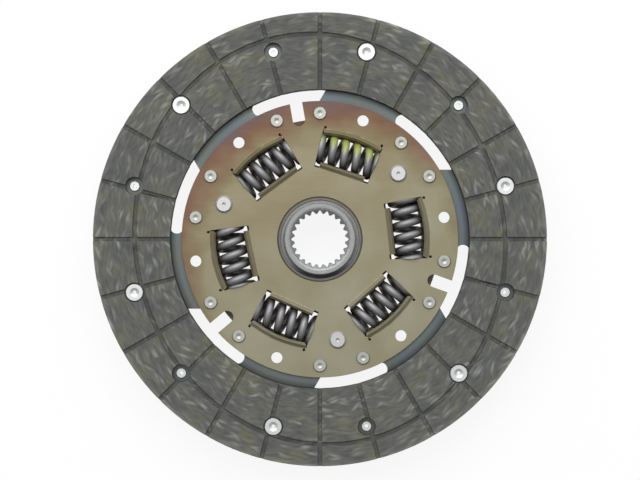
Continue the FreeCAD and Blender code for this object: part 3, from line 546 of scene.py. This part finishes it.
def paint_stroke(tree, place, split, mark_angle):
    """How much paint covers a place: a ragged stroke along the outer half of the coils' tops,
    thin near both ends of the spring."""
    outwards, along = window_directions(mark_angle)
    far = add_node(
        tree, "ShaderNodeVectorMath", {"operation": "DOT_PRODUCT", 1: outwards},
        {0: place.outputs["Object"]},
    )
    ragged = add_node(
        tree, "ShaderNodeTexNoise", {"Scale": 260.0, "Detail": 3.0}, {"Vector": place.outputs["Object"]}
    )
    edge = add_node(
        tree,
        "ShaderNodeMapRange",
        {"From Min": 0.2, "From Max": 0.8, "To Min": -2.0 * MM, "To Max": 2.0 * MM},
        {"Value": ragged.outputs["Fac"]},
    )
    ragged_far = add_node(
        tree, "ShaderNodeMath", {"operation": "ADD"}, {0: far.outputs["Value"], 1: edge.outputs[0]}
    )
    outer = add_node(
        tree,
        "ShaderNodeMapRange",
        {"From Min": 41.5 * MM, "From Max": 45.0 * MM, "To Min": 0.0, "To Max": 1.0},
        {"Value": ragged_far.outputs[0]},
    )
    upper = add_node(
        tree,
        "ShaderNodeMapRange",
        {"From Min": 20.5 * MM, "From Max": 22.0 * MM, "To Min": 0.0, "To Max": 1.0},
        {"Value": split.outputs["Z"]},
    )
    sideways = add_node(
        tree, "ShaderNodeVectorMath", {"operation": "DOT_PRODUCT", 1: along},
        {0: place.outputs["Object"]},
    )
    aside = add_node(tree, "ShaderNodeMath", {"operation": "ABSOLUTE"}, {0: sideways.outputs["Value"]})
    middle = add_node(
        tree,
        "ShaderNodeMapRange",
        {"From Min": 12.0 * MM, "From Max": 10.8 * MM, "To Min": 0.25, "To Max": 0.9},
        {"Value": aside.outputs[0]},
    )
    top_half = add_node(
        tree, "ShaderNodeMath", {"operation": "MULTIPLY"}, {0: outer.outputs[0], 1: upper.outputs[0]}
    )
    covered = add_node(
        tree, "ShaderNodeMath", {"operation": "MULTIPLY"}, {0: top_half.outputs[0], 1: middle.outputs[0]}
    )
    return covered.outputs[0]


def oiled_spring_wire(name, mark_angle=None):
    """Shot-peened, oil-tempered wire: nearly black, with a grey sheen along each coil. The
    marked spring has a stroke of yellow-green paint over its outer half."""
    material, tree, output = new_material(name)
    place = add_node(tree, "ShaderNodeTexCoord")
    split = add_node(tree, "ShaderNodeSeparateXYZ", links={0: place.outputs["Object"]})
    peened = add_node(
        tree, "ShaderNodeTexNoise", {"Scale": 1300.0, "Detail": 2.0}, {"Vector": place.outputs["Object"]}
    )
    bump = add_node(
        tree,
        "ShaderNodeBump",
        {"Strength": 0.3, "Distance": 0.06 * MM},
        {"Height": peened.outputs["Fac"]},
    )
    # Painted shade: the wire is darker on its flanks below the crowns of the coils than on the crowns
    level = add_node(
        tree, "ShaderNodeMath", {"operation": "SUBTRACT", 1: SPRING_HEIGHT}, {0: split.outputs["Z"]}
    )
    crown = add_node(tree, "ShaderNodeMath", {"operation": "ABSOLUTE"}, {0: level.outputs[0]})
    clean = add_node(
        tree,
        "ShaderNodeMapRange",
        {"From Min": 5.8 * MM, "From Max": 7.3 * MM},
        {"Value": crown.outputs[0]},
    )
    oiled = add_node(
        tree,
        "ShaderNodeValToRGB",
        {"stops": [(0.0, "#7b7875"), (1.0, "#a1a1a4")]},
        {"Fac": clean.outputs[0]},
    )
    shown = add_node(
        tree,
        "ShaderNodeBsdfPrincipled",
        {"Metallic": 1.0, "Roughness": 0.58},
        {"Base Color": oiled.outputs["Color"], "Normal": bump.outputs[0]},
    )
    if mark_angle is not None:
        paint = add_node(
            tree,
            "ShaderNodeBsdfPrincipled",
            {"Base Color": colour("#adb85e"), "Metallic": 0.0, "Roughness": 0.45},
            {"Normal": bump.outputs[0]},
        )
        covered = paint_stroke(tree, place, split, mark_angle)
        shown = add_node(
            tree, "ShaderNodeMixShader", links={0: covered, 1: shown.outputs[0], 2: paint.outputs[0]}
        )
    tree.links.new(shown.outputs[0], output.inputs["Surface"])
    return material


def moulded_washer():
    """Filled nylon washer: smooth, warm mid grey."""
    material, tree, output = new_material("moulded friction washer")
    place, _, _, out = polar_millimetres(tree)
    cloud = add_node(
        tree, "ShaderNodeTexNoise", {"Scale": 200.0, "Detail": 2.0}, {"Vector": place.outputs["Object"]}
    )
    tone = add_node(
        tree,
        "ShaderNodeValToRGB",
        {"stops": [(0.3, "#6f6c68"), (0.7, "#7e7b74")]},
        {"Fac": cloud.outputs["Fac"]},
    )
    # Oil creeps into the joint between its collar and the plate
    joint = add_node(
        tree, "ShaderNodeMapRange", {"From Min": 19.1, "From Max": 19.35}, {"Value": out}
    )
    oiled = add_node(
        tree, "ShaderNodeMix", {"data_type": "RGBA", 7: colour("#433d33")},
        {0: joint.outputs[0], 6: tone.outputs["Color"]},
    )
    surface = add_node(
        tree,
        "ShaderNodeBsdfPrincipled",
        {"Roughness": 0.5, "IOR": 1.5},
        {"Base Color": oiled.outputs[2]},
    )
    tree.links.new(surface.outputs[0], output.inputs["Surface"])
    return material


def deselect_all():
    """Take everything out of the selection."""
    bpy.ops.object.select_all(action="DESELECT")


def rises_with_closed_ends(turns, steps_per_turn):
    """The shares of its length that a coil has reached, step by step. It hardly rises for the
    first and last 0.3 of a turn, and then opens over 0.6 of a turn."""
    still, opening, least = 0.3, 0.6, 0.15
    count = turns * steps_per_turn
    rises = []
    for i in range(count):
        from_end = min(i + 0.5, count - i - 0.5) / steps_per_turn
        open_share = min(max((from_end - still) / opening, 0.0), 1.0)
        rises.append(least + (1 - least) * open_share**2 * (3 - 2 * open_share))
    reached = [0.0, *itertools.accumulate(rises)]
    return [place / reached[-1] for place in reached]


def wind_wire(name, centre, outwards, along, settled):
    """A straight coil with closed ends, swept as one round wire that runs on past both seats."""
    wire_r, coil_r = 1.85 * MM, 6.25 * MM
    turns, steps_per_turn = 6, 32
    # It is wound from the bottom of the coil, which lies a quarter turn on
    bottom = 0.25
    span = 2 * (WINDOW_HALF_LENGTH + wire_r / 3)
    rises = rises_with_closed_ends(turns, steps_per_turn)
    curve = bpy.data.curves.new(name, "CURVE")
    curve.dimensions = "3D"
    curve.bevel_depth = wire_r
    curve.bevel_resolution = 4
    curve.use_fill_caps = True
    spline = curve.splines.new("POLY")
    spline.points.add(len(rises) - 1)
    for i, (point, rise) in enumerate(zip(spline.points, rises)):
        spin = 2 * math.pi * (i / steps_per_turn + settled + bottom)
        spot = centre + along * span * (rise - 0.5) + outwards * coil_r * math.cos(spin)
        point.co = (spot.x, spot.y, spot.z - coil_r * math.sin(spin), 1.0)
    wire = bpy.data.objects.new(name, curve)
    bpy.context.scene.collection.objects.link(wire)
    deselect_all()
    wire.select_set(True)
    bpy.context.view_layer.objects.active = wire
    bpy.ops.object.convert(target="MESH")
    return bpy.context.view_layer.objects.active


def make_spring(number, direction, settled, material):
    """A coil spring with both ends ground flat to its window, and a thin gap left to the sides."""
    end_gap = 0.05 * MM
    outwards, along = window_directions(direction)
    centre = SPRING_CIRCLE_R * outwards + Vector((0.0, 0.0, SPRING_HEIGHT))
    spring = wind_wire(f"coil_spring_{number}", centre, outwards, along, settled)
    bpy.ops.object.mode_set(mode="EDIT")
    bpy.ops.mesh.select_all(action="SELECT")
    bpy.ops.mesh.remove_doubles(threshold=0.001 * MM)
    for side in (-1, 1):
        ground = side * math.cos(WINDOW_LEAN) * along - math.sin(WINDOW_LEAN) * outwards
        end = centre + side * WINDOW_HALF_LENGTH * along - end_gap * ground
        bpy.ops.mesh.select_all(action="SELECT")
        bpy.ops.mesh.bisect(plane_co=end, plane_no=ground, use_fill=True, clear_outer=True)
    bpy.ops.mesh.select_all(action="SELECT")
    bpy.ops.mesh.normals_make_consistent(inside=False)
    bpy.ops.object.mode_set(mode="OBJECT")
    bpy.ops.object.shade_smooth_by_angle(angle=math.radians(40.0))
    spring.data.materials.clear()
    spring.data.materials.append(material)
    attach(spring, "springs")
    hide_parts(f"damper_spring_{number}")
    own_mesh(spring)


def work_on(piece, chosen, operator, **settings):
    """Use an edit operator on the points of a piece for which chosen(place) is true."""
    for kind in (piece.data.vertices, piece.data.edges, piece.data.polygons):
        kind.foreach_set("select", [False] * len(kind))
    for point in piece.data.vertices:
        point.select = chosen(point.co)
    bpy.ops.object.mode_set(mode="EDIT")
    operator(**settings)
    bpy.ops.object.mode_set(mode="OBJECT")


def close_window_corners(plate):
    """Widen the lips at both ends, and narrow the round notches beside the outer ones' feet."""
    # Where the lips lie: how far out from the axis, and the outer one's gap to the window's end
    outer_lip, outer_lip_gap = (46.5 * MM, 49.66 * MM), (0.85 * MM, 1.4 * MM)
    inner_lip, inner_lip_end, near = (31.0 * MM, 34.7 * MM), 9.8 * MM, 0.08 * MM
    notch_out, notch_along, notch_reach = 50.48 * MM, 13.87 * MM, 0.93 * MM
    outer_wider, inner_wider, notch_left = 0.8 * MM, 1.1 * MM, 0.65
    for direction in SPRING_DIRECTIONS:
        outwards, along = window_directions(direction)
        for to_end in (-along, along):
            notch = notch_out * outwards + notch_along * to_end

            def at_outer_end(spot):
                far = spot.dot(outwards)
                end = WINDOW_HALF_LENGTH + (far - SPRING_CIRCLE_R) * math.tan(WINDOW_LEAN)
                least, most = outer_lip_gap
                return outer_lip[0] < far < outer_lip[1] and least < end - spot.dot(to_end) < most

            def at_inner_end(spot):
                far, off = spot.dot(outwards), spot.dot(to_end) - inner_lip_end
                return inner_lip[0] < far < inner_lip[1] and abs(off) < near

            def at_notch(spot):
                return (Vector((spot.x, spot.y, 0.0)) - notch).length < notch_reach

            work_on(plate, at_outer_end, bpy.ops.transform.translate, value=outer_wider * to_end)
            work_on(plate, at_inner_end, bpy.ops.transform.translate, value=inner_wider * to_end)
            shrink = {"value": (notch_left, notch_left, 1.0), "center_override": notch}
            work_on(plate, at_notch, bpy.ops.transform.resize, **shrink)


def soften_edges(name, body, width, material):
    """A copy of a plain node with its sharp edges broken, as tumbling or pressing leaves them."""
    deselect_all()
    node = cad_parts[name]
    node.select_set(True)
    bpy.context.view_layer.objects.active = node
    bpy.ops.object.duplicate()
    piece = bpy.context.view_layer.objects.active
    piece.name = f"edged_{name}"
    bpy.ops.mesh.customdata_custom_splitnormals_clear()
    bpy.ops.object.mode_set(mode="EDIT")
    bpy.ops.mesh.select_all(action="SELECT")
    bpy.ops.mesh.remove_doubles(threshold=0.001 * MM)
    bpy.ops.mesh.dissolve_limited(angle_limit=math.radians(0.5))
    # The corners of a bevel can reach a few thousandths of a millimetre past the plain node
    just_inside = 0.99996
    bpy.ops.transform.resize(value=(just_inside, just_inside, 1.0), center_override=(0.0, 0.0, 0.0))
    bpy.ops.object.mode_set(mode="OBJECT")
    if name == "front_plate":
        close_window_corners(piece)
    bevel = piece.modifiers.new("broken edges", "BEVEL")
    bevel.width = width
    bevel.segments = 2
    bevel.limit_method = "ANGLE"
    bevel.angle_limit = math.radians(38.0)
    bevel.use_clamp_overlap = False
    bpy.ops.object.modifier_apply(modifier=bevel.name)
    bpy.ops.object.shade_smooth_by_angle(angle=math.radians(35.0))
    weighted = piece.modifiers.new("flat faces stay flat", "WEIGHTED_NORMAL")
    weighted.keep_sharp = True
    bpy.ops.object.modifier_apply(modifier=weighted.name)
    piece.data.materials.clear()
    piece.data.materials.append(material)
    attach(piece, body)
    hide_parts(name)


def finish_pieces():
    """Break the edges of the main pieces, and give every other node its finish."""
    lining = moulded_friction_lining()
    plate = heat_tinted_plate()
    blued = blued_spring_steel()
    head = upset_rivet_steel("bright facing rivet steel", "#dfe1e0")
    dull = upset_rivet_steel("plated plate rivet steel", "#b6b6b0")
    pin = upset_rivet_steel("turned stop pin steel", "#cccccc")
    washer = moulded_washer()
    soften_edges("hub", "hub", 0.12 * MM, turned_hub_steel())
    for side in ("front", "rear"):
        soften_edges(f"{side}_plate", "disc", 0.15 * MM, plate)
        soften_edges(f"facing_{side}", "disc", 0.25 * MM, lining)
    finishes = {
        "front_friction_washer": washer,
        "rear_friction_washer": washer,
        "cone_spring": blued,
        "facing_rivets_front": head,
        "facing_rivets_rear": head,
        "plate_rivets": dull,
        "stop_pins": pin,
        **{f"cushion_segment_{i}": blued for i in range(1, 7)},
    }
    for name, material in finishes.items():
        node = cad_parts[name]
        node.data.materials.clear()
        node.data.materials.append(material)


def add_springs():
    """Six springs, of which the second has the paint mark."""
    plain = oiled_spring_wire("oiled spring wire")
    marked_number = 2
    mark_angle = SPRING_DIRECTIONS[marked_number - 1]
    marked = oiled_spring_wire("oiled spring wire with paint mark", mark_angle)
    places = zip(SPRING_DIRECTIONS, SPRING_SETTLED)
    for number, (direction, settled) in enumerate(places, start=1):
        wire = marked if number == marked_number else plain
        make_spring(number, direction, settled, wire)


def add_stage():
    """White floor that keeps a pale shadow, and is clear glass to anyone who looks from below."""
    deselect_all()
    bpy.ops.mesh.primitive_plane_add(size=8.0, location=(0.0, 0.0, -0.1 * MM))
    floor = bpy.context.view_layer.objects.active
    floor.name = "floor"
    material, tree, output = new_material("white studio floor")
    path = add_node(tree, "ShaderNodeLightPath")
    seen = path.outputs["Is Camera Ray"]
    for way in ("Is Glossy Ray", "Is Transmission Ray"):
        also = add_node(
            tree, "ShaderNodeMath", {"operation": "MAXIMUM"}, {0: seen, 1: path.outputs[way]}
        )
        seen = also.outputs[0]
    # To the eye it is mostly plain white, and the rest takes the shadow
    share = add_node(tree, "ShaderNodeMath", {"operation": "MULTIPLY", 1: 0.86}, {0: seen})
    matt = add_node(tree, "ShaderNodeBsdfDiffuse", {"Color": colour("#f4f4f4")})
    white = add_node(tree, "ShaderNodeEmission", {"Color": (1.0, 1.0, 1.0, 1.0), "Strength": 1.03})
    mixed = add_node(
        tree, "ShaderNodeMixShader", links={0: share.outputs[0], 1: matt.outputs[0], 2: white.outputs[0]}
    )
    side = add_node(tree, "ShaderNodeNewGeometry")
    clear = add_node(tree, "ShaderNodeBsdfTransparent")
    shown = add_node(
        tree,
        "ShaderNodeMixShader",
        links={0: side.outputs["Backfacing"], 1: mixed.outputs[0], 2: clear.outputs[0]},
    )
    tree.links.new(shown.outputs[0], output.inputs["Surface"])
    floor.data.materials.append(material)


def add_world():
    """A white room lit from above and from beyond the disc's top edge, with a dark near side."""
    world = bpy.data.worlds.new("studio")
    bpy.context.scene.world = world
    world.use_nodes = True
    tree = world.node_tree
    tree.nodes.clear()
    output = add_node(tree, "ShaderNodeOutputWorld")
    way = add_node(tree, "ShaderNodeTexCoord")
    # The bright upper part of the room is tilted 30 degrees towards the far side
    height = add_node(
        tree, "ShaderNodeVectorMath", {"operation": "DOT_PRODUCT", 1: (0.0, 0.5, 0.87)},
        {0: way.outputs["Generated"]},
    )
    ceiling = add_node(
        tree,
        "ShaderNodeMapRange",
        {"From Min": -0.15, "From Max": 0.3, "To Min": 0.02, "To Max": 0.48},
        {"Value": height.outputs["Value"]},
    )
    # A wide window lies beyond the disc's top edge
    beyond = add_node(tree, "ShaderNodeSeparateXYZ", links={0: way.outputs["Generated"]})
    window = add_node(
        tree,
        "ShaderNodeMapRange",
        {"From Min": 0.3, "From Max": 0.9, "To Min": 0.0, "To Max": 0.5},
        {"Value": beyond.outputs["Y"]},
    )
    light = add_node(
        tree, "ShaderNodeMath", {"operation": "ADD"}, {0: ceiling.outputs[0], 1: window.outputs[0]}
    )
    path = add_node(tree, "ShaderNodeLightPath")
    seen = add_node(
        tree, "ShaderNodeMath", {"operation": "MAXIMUM"},
        {0: path.outputs["Is Camera Ray"], 1: path.outputs["Is Transmission Ray"]},
    )
    room = add_node(
        tree,
        "ShaderNodeBackground",
        {"Color": (1.0, 1.0, 1.0, 1.0)},
        {"Strength": light.outputs[0]},
    )
    white = add_node(tree, "ShaderNodeBackground", {"Color": (1.0, 1.0, 1.0, 1.0), "Strength": 1.0})
    mixed = add_node(
        tree, "ShaderNodeMixShader", links={0: seen.outputs[0], 1: room.outputs[0], 2: white.outputs[0]}
    )
    tree.links.new(mixed.outputs[0], output.inputs["Surface"])


def add_lamps():
    """One soft key light from the disc's top edge."""
    lamp = bpy.data.lights.new("key", "AREA")
    lamp.shape = "RECTANGLE"
    lamp.size, lamp.size_y = 1.2, 0.8
    lamp.energy = 9.5
    key = bpy.data.objects.new("key", lamp)
    key.location = (-0.12, 0.58, 1.16)
    aim = Vector((0.0, 0.0, 0.02)) - key.location
    key.rotation_euler = aim.to_track_quat("-Z", "Y").to_euler()
    bpy.context.scene.collection.objects.link(key)


def add_camera():
    """Straight above, the photograph's framing, with the top of the face upwards."""
    data = bpy.data.cameras.new("camera")
    data.sensor_width = 36.0
    data.lens = 126.52
    camera = bpy.data.objects.new("camera", data)
    camera.location = (0.04 * MM, -0.37 * MM, 1078.0 * MM)
    bpy.context.scene.collection.objects.link(camera)
    bpy.context.scene.camera = camera


finish_pieces()
add_springs()
add_stage()
add_world()
add_lamps()
add_camera()
bpy.context.scene.view_settings.view_transform = "Standard"
